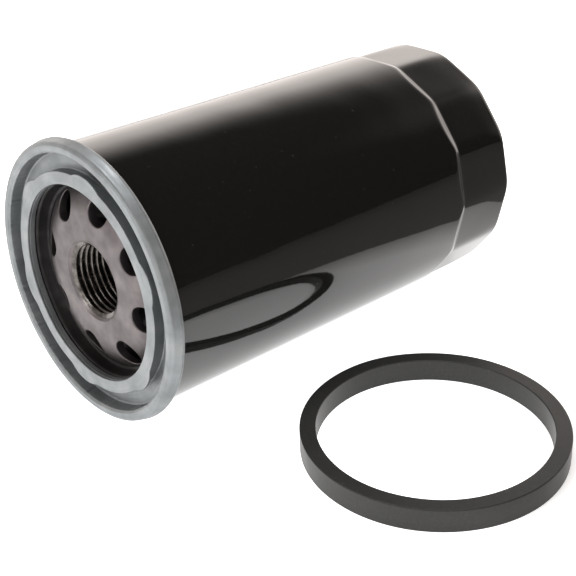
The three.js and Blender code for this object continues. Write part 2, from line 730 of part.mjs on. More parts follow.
function buildPart() {
  const laidOut = new THREE.Group();
  const filter = buildFilter();
  restOnFloor(filter);
  const gasket = put(laidOut, 'gasket', gasketGeometry(), rubber(0x3f3f3d));
  gasket.rotation.x = Math.PI / 2;
  gasket.position.set(gasketSide, GASKET_ALONG, GASKET_HEIGHT / 2);
  laidOut.add(filter);
  const extent = new THREE.Box3().setFromObject(laidOut, true);
  const middle = extent.getCenter(new THREE.Vector3());
  laidOut.position.set(-middle.x, -middle.y, -extent.min.z);
  const part = new THREE.Group();
  part.add(laidOut);
  return part;
}

export default buildPart();
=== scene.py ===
"""A spin-on oil filter lying on its side, with its square-cut sealing ring flat beside it."""

import json
import math

import bmesh
import bpy
import numpy as np
from mathutils import Matrix, Vector


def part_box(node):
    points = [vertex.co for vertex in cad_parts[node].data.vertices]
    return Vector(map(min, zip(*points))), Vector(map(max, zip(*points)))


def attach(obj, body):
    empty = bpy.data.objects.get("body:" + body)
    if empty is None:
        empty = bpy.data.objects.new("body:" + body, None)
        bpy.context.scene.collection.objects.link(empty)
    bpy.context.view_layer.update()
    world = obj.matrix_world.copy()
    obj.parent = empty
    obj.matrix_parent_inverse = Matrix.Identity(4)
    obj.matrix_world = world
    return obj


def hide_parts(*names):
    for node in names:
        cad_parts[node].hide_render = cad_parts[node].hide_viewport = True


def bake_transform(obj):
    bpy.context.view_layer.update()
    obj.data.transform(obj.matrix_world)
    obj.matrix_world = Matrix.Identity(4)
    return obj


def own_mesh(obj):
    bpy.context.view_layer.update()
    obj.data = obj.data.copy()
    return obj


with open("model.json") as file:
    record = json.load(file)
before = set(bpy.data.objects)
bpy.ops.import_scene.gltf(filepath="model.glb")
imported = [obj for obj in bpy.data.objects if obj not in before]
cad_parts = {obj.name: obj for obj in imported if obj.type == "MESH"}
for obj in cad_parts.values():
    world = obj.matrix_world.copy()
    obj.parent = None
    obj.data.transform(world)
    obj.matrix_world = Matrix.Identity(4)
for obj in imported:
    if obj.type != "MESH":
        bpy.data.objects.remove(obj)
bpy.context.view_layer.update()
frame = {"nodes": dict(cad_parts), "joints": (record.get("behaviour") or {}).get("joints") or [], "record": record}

MM = 0.001
TURN = 2 * math.pi

# ---- the filter's own frame: x across, y the depth behind the rim plane, z up across the axis ----

MOUNTS = {mount["name"]: mount for mount in frame["record"]["mounts"]}
JOINTS = {joint["name"]: joint for joint in frame["joints"]}
AXIS = np.array(JOINTS["element_float"]["axis"], float)
ACROSS = np.array([1.0, 0.0, 0.0])
UPRIGHT = np.cross(ACROSS, AXIS)
FILTER_FRAME = np.stack([ACROSS, AXIS, UPRIGHT])
TILT = math.atan2(-AXIS[2], AXIS[1])


def corners_of(node):
    """Every vertex of a CAD node, in metres."""
    mesh = frame["nodes"][node].data
    places = np.empty(3 * len(mesh.vertices), np.float32)
    mesh.vertices.foreach_get("co", places)
    return places.reshape(-1, 3).astype(float)


CLOSED_END = np.array(MOUNTS["closed_end"]["pos_m"], float)
RIM_CENTRE = CLOSED_END + AXIS * ((corners_of("seaming_lid") @ AXIS).min() - CLOSED_END @ AXIS)


def span(node):
    """Inner radius, outer radius, first depth and last depth of a CAD node about the axis, in mm."""
    local = (corners_of(node) - RIM_CENTRE) @ FILTER_FRAME.T / MM
    radius = np.hypot(local[:, 0], local[:, 2])
    return radius.min(), radius.max(), local[:, 1].min(), local[:, 1].max()


def from_filter(points):
    """Places given in the filter's own frame in mm, as metres in the scene."""
    return RIM_CENTRE + np.asarray(points, float) @ FILTER_FRAME * MM


def turned_round(radius, depth, angle):
    """The point at a radius, a depth and an angle from +x towards +z, in the filter's frame."""
    return np.stack(np.broadcast_arrays(radius * np.cos(angle), depth, radius * np.sin(angle)), axis=-1)


# ---- surfaces ----

def rounded(corners, steps=5):
    """A closed profile of (radius, depth, fillet) corners, as [radius, depth] points.

    Each corner is a quadratic curve from one tangent point to the other, with one more point just
    outside each of them, so that the flats beside it stay flat when shaded."""
    share = np.linspace(0, 1, steps)[:, None]
    points = []
    for i, (radius, depth, fillet) in enumerate(corners):
        corner = np.array([radius, depth])
        before = np.array(corners[i - 1][:2]) - corner
        after = np.array(corners[(i + 1) % len(corners)][:2]) - corner
        before_length, after_length = np.hypot(*before), np.hypot(*after)
        before, after = before / before_length, after / after_length
        half = math.acos(np.clip(before @ after, -1, 1)) / 2
        reach = min(fillet / math.tan(half), 0.42 * before_length, 0.42 * after_length)
        start, end = corner + reach * before, corner + reach * after
        arc = (1 - share) ** 2 * start + 2 * share * (1 - share) * corner + share**2 * end
        points += [start + 0.15 * reach * before, *arc, end + 0.15 * reach * after]
    return np.array(points)


def grid_faces(rows, columns, rows_close):
    """The quads of a grid that closes on itself across its columns, and along its rows if asked."""
    row = np.arange(rows if rows_close else rows - 1)[:, None]
    column = np.arange(columns)[None, :]
    beside = (column + 1) % columns
    below = (row + 1) % rows
    quads = np.stack([row * columns + column, row * columns + beside,
                      below * columns + beside, below * columns + column], axis=-1)
    return quads.reshape(-1, 4)


def make_piece(name, points, faces, materials, face_materials=None, sharp=40):
    """A closed mesh from points in metres: doubles welded, faces turned outwards, edges past the
    given angle left sharp and the rest shaded smooth."""
    mesh = bpy.data.meshes.new(name)
    mesh.from_pydata(points.reshape(-1, 3).tolist(), [], faces.tolist())
    for material in materials:
        mesh.materials.append(material)
    if face_materials is not None:
        mesh.polygons.foreach_set("material_index", face_materials.astype(np.int32))
    form = bmesh.new()
    form.from_mesh(mesh)
    bmesh.ops.remove_doubles(form, verts=form.verts, dist=0.0015 * MM)
    bmesh.ops.dissolve_degenerate(form, edges=form.edges, dist=0.0005 * MM)
    bmesh.ops.recalc_face_normals(form, faces=form.faces)
    if form.calc_volume(signed=True) < 0:
        bmesh.ops.reverse_faces(form, faces=form.faces)
    form.to_mesh(mesh)
    form.free()
    mesh.polygons.foreach_set("use_smooth", np.ones(len(mesh.polygons), bool))
    mesh.set_sharp_from_angle(angle=math.radians(sharp))
    piece = bpy.data.objects.new(name, mesh)
    bpy.context.scene.collection.objects.link(piece)
    return piece


def stand_in(piece, node, body):
    """The finished piece takes the place of a CAD node on its body."""
    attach(piece, body)
    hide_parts(node)


def ripple(angle, waves, seed):
    """A smooth closed wobble round a circle, between about -1 and 1: cosines of whole numbers of
    waves near the given one, with seeded phases."""
    dice = np.random.default_rng(seed)
    counts = np.round(waves * np.array([0.62, 0.81, 1.0, 1.27, 1.55]))
    phases = dice.uniform(0, TURN, counts.size)
    return np.cos(counts[:, None] * angle + phases[:, None]).sum(axis=0) / 3


# ---- materials ----

def colour(hex_code):
    """An sRGB hex colour as linear RGBA."""
    channels = [int(hex_code[i:i + 2], 16) / 255 for i in (1, 3, 5)]
    return tuple(c / 12.92 if c <= 0.04045 else ((c + 0.055) / 1.055) ** 2.4 for c in channels) + (1.0,)


def add(tree, kind, inputs=(), **settings):
    """Adds a node with its settings. Each input is a plain value or another node's output."""
    node = tree.nodes.new(kind)
    for key, value in settings.items():
        setattr(node, key, value)
    for key, value in dict(inputs).items():
        if isinstance(value, bpy.types.NodeSocket):
            tree.links.new(value, node.inputs[key])
        else:
            node.inputs[key].default_value = value
    return node


def new_material(name, **shader):
    """A material with one Principled shader. Returns the material, its tree and the shader."""
    material = bpy.data.materials.new(name)
    material.use_nodes = True
    tree = material.node_tree
    tree.nodes.clear()
    surface = add(tree, "ShaderNodeBsdfPrincipled", {key.replace("_", " "): v for key, v in shader.items()})
    output = add(tree, "ShaderNodeOutputMaterial")
    tree.links.new(surface.outputs["BSDF"], output.inputs["Surface"])
    return material, tree, surface


def millimetres(tree):
    """The place on the filter in its own frame, in mm, from Object coordinates."""
    turn = Matrix.Rotation(TILT, 3, "X")
    shift = -(turn @ Vector(RIM_CENTRE / MM))
    place = add(tree, "ShaderNodeTexCoord").outputs["Object"]
    mapping = add(tree, "ShaderNodeMapping", {
        "Vector": place, "Scale": (1 / MM,) * 3, "Rotation": (TILT, 0, 0), "Location": shift})
    return mapping.outputs["Vector"]


def stretched(tree, place, scale):
    """The place with its x, y and z multiplied, so that a grain on it is drawn out."""
    return add(tree, "ShaderNodeMapping", {"Vector": place, "Scale": scale}).outputs["Vector"]


def noise(tree, place, size, detail=3.0, roughness=0.55):
    """Noise whose blotches are about so many mm across, from 0 to 1."""
    return add(tree, "ShaderNodeTexNoise", {
        "Vector": place, "Scale": 1 / size, "Detail": detail, "Roughness": roughness}).outputs["Fac"]


def graded(tree, factor, start, end, low, high):
    """A number that goes from low to high as the factor goes from start to end."""
    return add(tree, "ShaderNodeMapRange", {
        "Value": factor, "From Min": start, "From Max": end, "To Min": low, "To Max": high,
    }).outputs["Result"]


def tinted(tree, factor, *stops):
    """A colour ramp through (place, hex colour) stops."""
    ramp = add(tree, "ShaderNodeValToRGB", {"Fac": factor})
    elements = ramp.color_ramp.elements
    while len(elements) < len(stops):
        elements.new(0.5)
    for element, (place, hex_code) in zip(elements, stops):
        element.position = place
        element.color = colour(hex_code)
    return ramp.outputs["Color"]


def bumped(tree, surface, *layers):
    """Bump from (height, depth in mm) layers, one after the other."""
    normal = None
    for height, depth in layers:
        inputs = {"Height": height, "Strength": 1.0, "Distance": depth * MM}
        if normal is not None:
            inputs["Normal"] = normal
        normal = add(tree, "ShaderNodeBump", inputs).outputs["Normal"]
    tree.links.new(normal, surface.inputs["Normal"])


def gloss_enamel():
    """Baked black enamel sprayed on drawn steel: a deep gloss with a trace of orange peel about
    2 mm across, a slow unevenness of the sheet under it, and a few specks of dust."""
    material, tree, surface = new_material(
        "gloss_black_baked_enamel", IOR=1.58, Metallic=0.0)
    place = millimetres(tree)
    dust = noise(tree, place, 1.1, 2.0, 0.5)
    tree.links.new(tinted(tree, dust, (0.0, "#111110"), (0.72, "#161615"), (0.78, "#2f2e2c")),
                   surface.inputs["Base Color"])
    tree.links.new(graded(tree, dust, 0.70, 0.80, 0.055, 0.3), surface.inputs["Roughness"])
    peel = noise(tree, place, 2.2, 2.0)
    sheet = noise(tree, place, 26.0, 1.0)
    bumped(tree, surface, (sheet, 0.25), (peel, 0.006))
    return material


def zinc_plate():
    """Bright zinc plate, dulled by its passivation: a satin blue-grey metal, drawn out round the rim
    by the seaming rollers into fine streaks, with faint cloudy stains."""
    material, tree, surface = new_material("satin_zinc_plate", Metallic=0.85)
    place = millimetres(tree)
    cloud = noise(tree, place, 9.0, 4.0)
    grain = noise(tree, place, 0.5, 3.0)
    streak = noise(tree, rolled(tree, place, 0.35, 11.0), 1.0, 3.0)
    tree.links.new(tinted(tree, cloud, (0.3, "#75797b"), (0.52, "#84888a"), (0.75, "#939697")),
                   surface.inputs["Base Color"])
    tree.links.new(graded(tree, streak, 0.3, 0.7, 0.44, 0.6), surface.inputs["Roughness"])
    bumped(tree, surface, (streak, 0.02), (grain, 0.012))
    return material


def rolled(tree, place, fine, drawn):
    """Coordinates in which a grain is so many mm across the sheet and so many mm long round the axis:
    the radius and the depth shrunk, and the direction round the axis spread on a small circle."""
    parts = add(tree, "ShaderNodeSeparateXYZ", {"Vector": place}).outputs
    flat = add(tree, "ShaderNodeCombineXYZ", {"X": parts["X"], "Z": parts["Z"]}).outputs["Vector"]
    radius = add(tree, "ShaderNodeVectorMath", {"Vector": flat}, operation="LENGTH").outputs["Value"]
    round_axis = add(tree, "ShaderNodeVectorMath", {"Vector": flat}, operation="NORMALIZE").outputs["Vector"]
    wide = add(tree, "ShaderNodeVectorMath", {"Vector": round_axis, "Scale": 40 / drawn}, operation="SCALE")
    side = add(tree, "ShaderNodeMath", {0: radius, 1: 1 / fine}, operation="MULTIPLY").outputs["Value"]
    depth = add(tree, "ShaderNodeMath", {0: parts["Y"], 1: 1 / fine}, operation="MULTIPLY").outputs["Value"]
    both = add(tree, "ShaderNodeCombineXYZ", {"X": side, "Y": depth, "Z": 0.0}).outputs["Vector"]
    return add(tree, "ShaderNodeVectorMath", {0: wide.outputs["Vector"], 1: both}, operation="ADD").outputs[
        "Vector"]


def pressed_steel(name, dark, middle, light):
    """Hot-rolled steel plate, pressed and lightly phosphated: a brownish satin grey with soft
    blotches of oil and a fine even tooth."""
    material, tree, surface = new_material(name, Metallic=1.0)
    place = millimetres(tree)
    blotch = noise(tree, place, 7.0, 4.0)
    tooth = noise(tree, place, 0.45, 3.0)
    tree.links.new(tinted(tree, blotch, (0.3, dark), (0.52, middle), (0.72, light)),
                   surface.inputs["Base Color"])
    tree.links.new(graded(tree, blotch, 0.3, 0.7, 0.52, 0.4), surface.inputs["Roughness"])
    bumped(tree, surface, (tooth, 0.02))
    return material


def cut_thread():
    """The tapped thread, blackened and oiled: dark, with hard bright lines where it catches light."""
    material, tree, surface = new_material("oiled_black_thread", Metallic=1.0)
    place = millimetres(tree)
    film = noise(tree, place, 2.5, 3.0)
    tree.links.new(tinted(tree, film, (0.35, "#45423f"), (0.7, "#6f6b68")), surface.inputs["Base Color"])
    tree.links.new(graded(tree, film, 0.3, 0.7, 0.16, 0.3), surface.inputs["Roughness"])
    bumped(tree, surface, (film, 0.01))
    return material


def gasket_rubber():
    """Moulded nitrile rubber, cut square on a lathe: matt charcoal with fine pale specks of bloom."""
    material, tree, surface = new_material("nitrile_sealing_ring", IOR=1.36)
    place = millimetres(tree)
    bloom = noise(tree, place, 0.9, 2.0, 0.55)
    patch = noise(tree, place, 18.0, 2.0)
    tree.links.new(tinted(tree, bloom, (0.3, "#242423"), (0.66, "#2a2a29"), (0.8, "#3a3936")),
                   surface.inputs["Base Color"])
    tree.links.new(graded(tree, patch, 0.35, 0.65, 0.38, 0.46), surface.inputs["Roughness"])
    bumped(tree, surface, (bloom, 0.02))
    return material


def valve_rubber():
    """Thin moulded nitrile sheet, oiled: black with a soft sheen."""
    material, tree, surface = new_material("valve_nitrile", IOR=1.5)
    place = millimetres(tree)
    skin = noise(tree, place, 1.6, 3.0)
    tree.links.new(tinted(tree, skin, (0.35, "#1b1b1a"), (0.7, "#242423")), surface.inputs["Base Color"])
    tree.links.new(graded(tree, skin, 0.3, 0.7, 0.38, 0.52), surface.inputs["Roughness"])
    bumped(tree, surface, (skin, 0.02))
    return material


def tinplate():
    """Bright tinplate as it comes off the coil: pale metal with a faint rolling grain."""
    material, tree, surface = new_material("bright_tinplate", Metallic=1.0)
    place = millimetres(tree)
    grain = noise(tree, stretched(tree, place, (1.0, 1.0, 0.12)), 0.6, 3.0)
    spangle = noise(tree, place, 5.0, 1.0)
    tree.links.new(tinted(tree, spangle, (0.35, "#b9b7b1"), (0.65, "#cdcbc5")), surface.inputs["Base Color"])
    tree.links.new(graded(tree, grain, 0.3, 0.7, 0.2, 0.38), surface.inputs["Roughness"])
    bumped(tree, surface, (grain, 0.008))
    return material


def spring_steel():
    """Oil-tempered spring wire: blue-grey, with a dark scale that breaks up its shine."""
    material, tree, surface = new_material("oil_tempered_spring_wire", Metallic=1.0)
    place = millimetres(tree)
    scale = noise(tree, place, 1.2, 4.0)
    tree.links.new(tinted(tree, scale, (0.35, "#6d7073"), (0.62, "#8f9295")), surface.inputs["Base Color"])
    tree.links.new(graded(tree, scale, 0.3, 0.7, 0.28, 0.5), surface.inputs["Roughness"])
    bumped(tree, surface, (scale, 0.015))
    return material


def filter_paper():
    """Resin-treated cellulose filter paper: a warm yellow felt of fibres, fully matt."""
    material, tree, surface = new_material("resin_filter_paper", IOR=1.45, Roughness=0.9)
    place = millimetres(tree)
    fibre = noise(tree, stretched(tree, place, (1.0, 0.25, 1.0)), 0.4, 4.0, 0.7)
    tree.links.new(tinted(tree, fibre, (0.3, "#c79f57"), (0.55, "#d9b36a"), (0.75, "#e6c686")),
                   surface.inputs["Base Color"])
    bumped(tree, surface, (fibre, 0.05))
    return material


def plastisol():
    """Cured plastisol that glues the element into its caps: brick red, soft and a little glossy."""
    material, tree, surface = new_material("cured_plastisol", IOR=1.5)
    place = millimetres(tree)
    flow = noise(tree, place, 4.0, 2.0)
    tree.links.new(tinted(tree, flow, (0.35, "#7f3425"), (0.7, "#97402f")), surface.inputs["Base Color"])
    tree.links.new(graded(tree, flow, 0.3, 0.7, 0.42, 0.6), surface.inputs["Roughness"])
    bumped(tree, surface, (flow, 0.15))
    return material


def seam_sealant():
    """Brushed-on seaming compound: dull green and slightly grainy."""
    material, tree, surface = new_material("lined_seaming_compound", IOR=1.5)
    place = millimetres(tree)
    smear = noise(tree, place, 1.5, 3.0)
    tree.links.new(tinted(tree, smear, (0.35, "#35513a"), (0.7, "#42604a")), surface.inputs["Base Color"])
    tree.links.new(graded(tree, smear, 0.3, 0.7, 0.55, 0.75), surface.inputs["Roughness"])
    bumped(tree, surface, (smear, 0.05))
    return material


CARD_EDGE_TURN = math.radians(35.0)      # which way the card's right edge faces, from +X towards +Y
CARD_EDGE = 0.086                        # how far the card reaches that way
CARD_FADE = 0.050                        # where the light under it begins to fade
CARD_GLOW = 1.15
CARD_LIFT = 0.0006                       # card over the table
CARD_EDGE_WAY = np.array([math.cos(CARD_EDGE_TURN), math.sin(CARD_EDGE_TURN), 0.0])


def studio_card():
    """Translucent white card, lit from under: matt white and faintly fibrous. The light under it
    fades towards its right edge."""
    material, tree, surface = new_material("backlit_white_card", IOR=1.4, Roughness=0.9)
    place = add(tree, "ShaderNodeTexCoord").outputs["Object"]
    fibre = add(tree, "ShaderNodeTexNoise", {"Vector": place, "Scale": 6.0, "Detail": 2.0}).outputs["Fac"]
    white = tinted(tree, fibre, (0.3, "#f6f6f6"), (0.7, "#fafafa"))
    tree.links.new(white, surface.inputs["Base Color"])
    tree.links.new(white, surface.inputs["Emission Color"])
    across = add(tree, "ShaderNodeVectorMath", {0: place, 1: CARD_EDGE_WAY}, operation="DOT_PRODUCT")
    tree.links.new(graded(tree, across.outputs["Value"], CARD_FADE, CARD_EDGE, CARD_GLOW, 0.0),
                   surface.inputs["Emission Strength"])
    return material


def pale_table():
    """Matt pale grey laminate."""
    material, tree, surface = new_material(
        "matt_pale_laminate", IOR=1.4, Roughness=0.8, Emission_Strength=0.04)
    place = add(tree, "ShaderNodeTexCoord").outputs["Object"]
    cloud = add(tree, "ShaderNodeTexNoise", {"Vector": place, "Scale": 2.0, "Detail": 2.0}).outputs["Fac"]
    grey = tinted(tree, cloud, (0.3, "#868584"), (0.7, "#8d8c8b"))
    tree.links.new(grey, surface.inputs["Base Color"])
    tree.links.new(grey, surface.inputs["Emission Color"])
    return material


ENAMEL = gloss_enamel()
ZINC = zinc_plate()
STEEL = pressed_steel("phosphated_steel_plate", "#575252", "#625d5e", "#6d6868")
# The same pressed plate steel painted far darker for the rim in the recess under the lid's lip: painted shade, not
# oil or a different finish.
RECESS_STEEL_PAINTED_SHADE = pressed_steel("plate_steel_painted_dark_as_recess_shade", "#242323", "#2c2b2b", "#353434")
THREAD = cut_thread()
RING_RUBBER = gasket_rubber()
VALVE_RUBBER = valve_rubber()
TINPLATE = tinplate()
SPRING = spring_steel()
PAPER = filter_paper()
PLASTISOL = plastisol()
SEALANT = seam_sealant()

# ---- camera ----

CAMERA_FROM_RIM = Vector((293.58, -171.27, 177.46)) * MM
CAMERA_YAW = math.radians(48.61)         # from +Y towards -X
CAMERA_PITCH = math.radians(28.53)       # below the horizon
CAMERA_ROLL = math.radians(-2.26)
CAMERA_LENS = 74.3


def add_camera():
    """A 74 mm lens looking down on the thread end, from its right."""
    data = bpy.data.cameras.new("camera")
    data.lens = CAMERA_LENS
    data.clip_end = 10
    camera = bpy.data.objects.new("camera", data)
    bpy.context.scene.collection.objects.link(camera)
    aim = (Matrix.Rotation(CAMERA_YAW, 4, "Z") @ Matrix.Rotation(math.pi / 2 - CAMERA_PITCH, 4, "X")
           @ Matrix.Rotation(CAMERA_ROLL, 4, "Z"))
    camera.matrix_world = Matrix.Translation(Vector(RIM_CENTRE) + CAMERA_FROM_RIM) @ aim
    bpy.context.scene.camera = camera


add_camera()

# ---- can ----

CAN_RADIUS = 44.8
FLAT_COUNT = 14
FLAT_DEPTH = 1.3
WRENCH_LENGTH = 26.3
SHOULDER_SLOPE = 0.536
CAN_WALL = 0.6
CURL_LENGTH = 1.1                        # from the mouth to the plain wall
END_RADIUS = 2.5
RIDGE_SHARPNESS = 120                    # higher is sharper
SHOULDER_SOFTNESS = 0.22
END_REACH = 12                           # the ridges fade out over this length
END_DRAW = 1.0


def flats_form(angle):
    """Radius of a softened polygon with flats one unit from the axis: one over the high-power mean
    of the cosines to every flat."""
    middles = np.arange(FLAT_COUNT) * TURN / FLAT_COUNT + math.pi / 2
    cosines = np.clip(np.cos(angle[None, :] - middles[:, None]), 0, 1)
    return (cosines**RIDGE_SHARPNESS).sum(axis=0) ** (-1 / RIDGE_SHARPNESS)


def softer_of(first, second, softness):
    """The smaller of two numbers, with a smooth change from one to the other."""
    lower = np.minimum(first, second)
    return lower - softness * np.log1p(np.exp(-np.abs(first - second) / softness))


def can_wall(angle, depth, inset, foot):
    """The can's radius: a cylinder drawn in a little at the closed end, or where it is smaller the
    wrench flats, whose distance from the axis grows from the foot of the shoulder towards the
    thread end."""
    apothem = CAN_RADIUS - FLAT_DEPTH - inset + SHOULDER_SLOPE * np.logaddexp(0, (foot - depth) / 0.25) * 0.25
    drawn = np.clip((depth - foot - WRENCH_LENGTH) / END_REACH + 1, 0, 1)
    limit = CAN_RADIUS - inset - END_DRAW * drawn**2
    return softer_of(limit[:, None], apothem[:, None] * flats_form(angle)[None, :], SHOULDER_SOFTNESS)


def build_can():
    """Drawn can: the outside from the middle of its closed end to its mouth, and back along the
    inside. Columns run round the axis; the end's edge is a quarter circle carried round the flats."""
    _, flange, mouth, length = span("can")
    foot = length - WRENCH_LENGTH
    angle = np.linspace(0, TURN, 24 * FLAT_COUNT, endpoint=False) + math.pi / 2
    shrink = np.array([0.0, 0.1, 0.25, 0.42, 0.6, 0.78, 0.92, 0.985])[:, None]
    turn = np.linspace(0, math.pi / 2, 9)

    def closing(end, radius, wall_radius):
        flat = shrink * (wall_radius[None, :] - radius)
        edge = wall_radius[None, :] - radius * (1 - np.sin(turn))[:, None]
        radii = np.concatenate([flat, edge])
        depths = np.concatenate([np.full(len(shrink), end), end - radius * (1 - np.cos(turn))])
        return np.stack(np.broadcast_arrays(radii, depths[:, None]))

    def walls(inset, end, radius):
        depth = np.concatenate([
            np.linspace(end - radius - 0.4, foot + 2.4, 5),
            np.linspace(foot + 1.6, foot - 5.4, 36),
            np.linspace(foot - 7, mouth + CURL_LENGTH, 12)])
        return np.stack(np.broadcast_arrays(can_wall(angle, depth, inset, foot), depth[:, None]))

    wrench = can_wall(angle, np.array([length - END_RADIUS]), 0.0, foot)[0]
    outer_end = closing(length, END_RADIUS, wrench)
    outer_wall = walls(0.0, length, END_RADIUS)
    inner_end = closing(length - CAN_WALL, END_RADIUS - CAN_WALL, wrench - CAN_WALL)
    inner_wall = walls(CAN_WALL, length - CAN_WALL, END_RADIUS - CAN_WALL)
    lip_radius = np.array([CAN_RADIUS, flange - CAN_WALL, flange - CAN_WALL, flange, flange - 0.2,
                           CAN_RADIUS + 0.7, CAN_RADIUS - CAN_WALL])
    lip_depth = mouth + np.array([0.7, 0.7, 1.6, 1.6, 0.4, 0.0, 0.0])
    lip = np.stack([lip_radius, lip_depth])[:, :, None] * np.ones(angle.size)
    radii, depths = np.concatenate([
        outer_end, outer_wall, lip, inner_wall[:, ::-1], inner_end[:, ::-1]], axis=1)
    points = from_filter(turned_round(radii, depths, angle[None, :]))
    faces = grid_faces(len(radii), angle.size, False)
    can = make_piece("can_shell", points, faces, [ENAMEL])
    stand_in(can, "can", "housing")


# ---- lid ----

LID_SHEET = 0.8
LIP_DEPTH = 1.0
LIP_OUTER = 37.0
LIP_INNER = 33.05
LIP_OVERHANG = 0.25
LIP_SKIRT = 2.9
LUG_COUNT = 6
LUG_REACH = 1.9
LUG_RADIUS = 12
LUG_PHASE = math.radians(20)
GROOVE_DEPTH = 5.0
GROOVE_MOUTH = 43.2
GROOVE_FLOOR = 42.9
SEAM_WIDEST = 3.8
SEAM_DEPTH = 4.8
CRIMP_COUNT = 126                        # marks of the crimping tool round the groove
CRIMP_DEPTH = 0.08


def lid_profile(lug, crease):
    """The lid's section as a closed loop: lip, groove, rolled seam and hook, and back behind the
    sheet. A lug carries the lip's edge outwards, and a crease nips the skirt below its face."""
    seam = span("seaming_lid")[1]
    edge = LIP_OUTER + LIP_OVERHANG + lug
    skirt_end = LIP_DEPTH + LIP_SKIRT
    inside = LIP_INNER + LID_SHEET
    behind = GROOVE_FLOOR + LID_SHEET + 0.05
    hook = CAN_RADIUS + 0.35
    return rounded([
        (LIP_INNER, skirt_end, 0.2),
        (LIP_INNER, LIP_DEPTH + 1.05, 0.1),
        (LIP_INNER + crease, LIP_DEPTH + 0.9, 0.05),
        (LIP_INNER, LIP_DEPTH + 0.75, 0.1),
        (LIP_INNER, LIP_DEPTH, 0.35),
        (edge, LIP_DEPTH, 0.2),
        (edge, LIP_DEPTH + LID_SHEET, 0.12),
        (LIP_OUTER, LIP_DEPTH + LID_SHEET, 0.1),
        (LIP_OUTER, GROOVE_DEPTH, 0.5),
        (GROOVE_FLOOR, GROOVE_DEPTH, 0.6),
        (GROOVE_MOUTH, 0.75, 0.5),
        (GROOVE_MOUTH + 0.75, 0.0, 0.3),
        (seam - 1.85, 0.0, 0.9),
        (seam - 0.75, 0.8, 1.0),
        (seam, SEAM_WIDEST, 1.0),
        (seam - 0.45, SEAM_DEPTH, 0.3),
        (hook, SEAM_DEPTH, 0.1),
        (hook, SEAM_DEPTH - LID_SHEET, 0.05),
        (seam - 0.95, SEAM_DEPTH - LID_SHEET, 0.2),
        (seam - 1.7, LID_SHEET, 0.3),
        (behind + 0.2, LID_SHEET, 0.2),
        (behind, GROOVE_DEPTH + LID_SHEET, 0.3),
        (LIP_OUTER - LID_SHEET, GROOVE_DEPTH + LID_SHEET, 0.2),
        (LIP_OUTER - LID_SHEET, LIP_DEPTH + LID_SHEET, 0.2),
        (inside, LIP_DEPTH + LID_SHEET, 0.2),
        (inside, skirt_end, 0.2),
    ], steps=4)


def lug_height(angle):
    """How far the lip's edge stands out: a round lug's outline over the lip's own circle, repeated
    round the lip, its foot softened."""
    centre = LIP_OUTER + LUG_REACH - LUG_RADIUS
    off = (angle - LUG_PHASE + math.pi / LUG_COUNT) % (TURN / LUG_COUNT) - math.pi / LUG_COUNT
    chord = np.clip(LUG_RADIUS**2 - (centre * np.sin(off)) ** 2, 0, None)
    height = centre * np.cos(off) + np.sqrt(chord) - LIP_OUTER - LIP_OVERHANG
    return np.logaddexp(0, height / 0.05) * 0.05


def build_lid():
    """Seaming lid: one section carried round the axis. Where a lug or a crease is, the section is mixed towards
    the one that has it; the groove's wall carries the crimping tool's marks, and the lip's face and the skirt's
    end have a slight wobble from the rollers."""
    angle = np.linspace(0, TURN, 720, endpoint=False)
    plain = lid_profile(0.0, 0.0)
    lugged = lid_profile(1.0, 0.0)
    creased = lid_profile(0.0, 0.3)
    lug = lug_height(angle)[None, :, None]
    crease = np.clip(0.5 + 1.4 * np.cos(angle - math.radians(215)), 0, 1)[None, :, None]
    section = (plain[:, None, :] + lug * (lugged - plain)[:, None, :]
               + crease * (creased - plain)[:, None, :])
    radius, depth = section[..., 0], section[..., 1]
    on_groove_wall = np.clip((GROOVE_MOUTH + 0.5 - np.abs(radius)) * 4, 0, 1) * np.clip(
        (radius - GROOVE_FLOOR + 0.6) * 3, 0, 1) * np.clip((depth - 0.6) * 2, 0, 1) * np.clip(
        (GROOVE_DEPTH + 0.2 - depth) * 3, 0, 1)
    crimp = ripple(angle, CRIMP_COUNT, 4)[None, :]
    radius = radius + CRIMP_DEPTH * crimp * on_groove_wall
    on_lip = np.clip((LIP_OUTER + 3 - radius) / 2, 0, 1)
    depth = depth + on_lip * 0.05 * ripple(angle, 9, 7)[None, :] * np.clip(3 - depth, 0, 1)
    skirt_end = np.clip(depth - LIP_DEPTH - LIP_SKIRT + 0.5, 0, 1) * np.clip(
        (LIP_INNER + 1.2 - radius) * 3, 0, 1)
    depth = depth + skirt_end * 0.35 * ripple(angle, 5, 12)[None, :]
    points = from_filter(turned_round(radius, depth, angle[None, :]))
    faces = grid_faces(len(plain), angle.size, True)
    lid = make_piece("rolled_seam_lid", points, faces, [ZINC])
    stand_in(lid, "seaming_lid", "housing")


# ---- base plate ----

PLATE_THICKNESS = 3.0
CROWN_DEPTH = 4.2
CROWN_FLAT = 20.0
CHANNEL_DROP = 4.4
CHANNEL_INNER = 30.75
CHANNEL_WIDTH = 1.0
HOLE_COUNT = 8
HOLE_RADIUS = 4.6
HOLE_CIRCLE = 25.65
HOLE_PHASE = math.radians(33.9)
HOLE_EDGE = 0.45                         # the punch draws the edge down over this width
HUB_EDGE = 19.6                          # where the turned hub meets the punched ring
THREAD_MAJOR = 12.7
THREAD_PITCH = 25.4 / 12
THREAD_MINOR = THREAD_MAJOR - 0.54 * THREAD_PITCH
THREAD_CHAMFER = 0.9
NECK_WALL = 2.6
THREAD_MOUTH = THREAD_MAJOR + 0.25       # the chamfer's foot
THREAD_START = 0.75                      # and its depth behind the crown
ARC_STEPS = 24                           # columns for each hole
PLATE_COLUMNS = ARC_STEPS * HOLE_COUNT
THREAD_STEPS = 14                        # rows for each pitch


def crown_depth(radius):
    """Depth of the plate's front: flat, then falling away as a parabola to the channel."""
    share = np.clip((radius - CROWN_FLAT) / (CHANNEL_INNER - CROWN_FLAT), 0, 1)
    return CROWN_DEPTH + CHANNEL_DROP * share**2


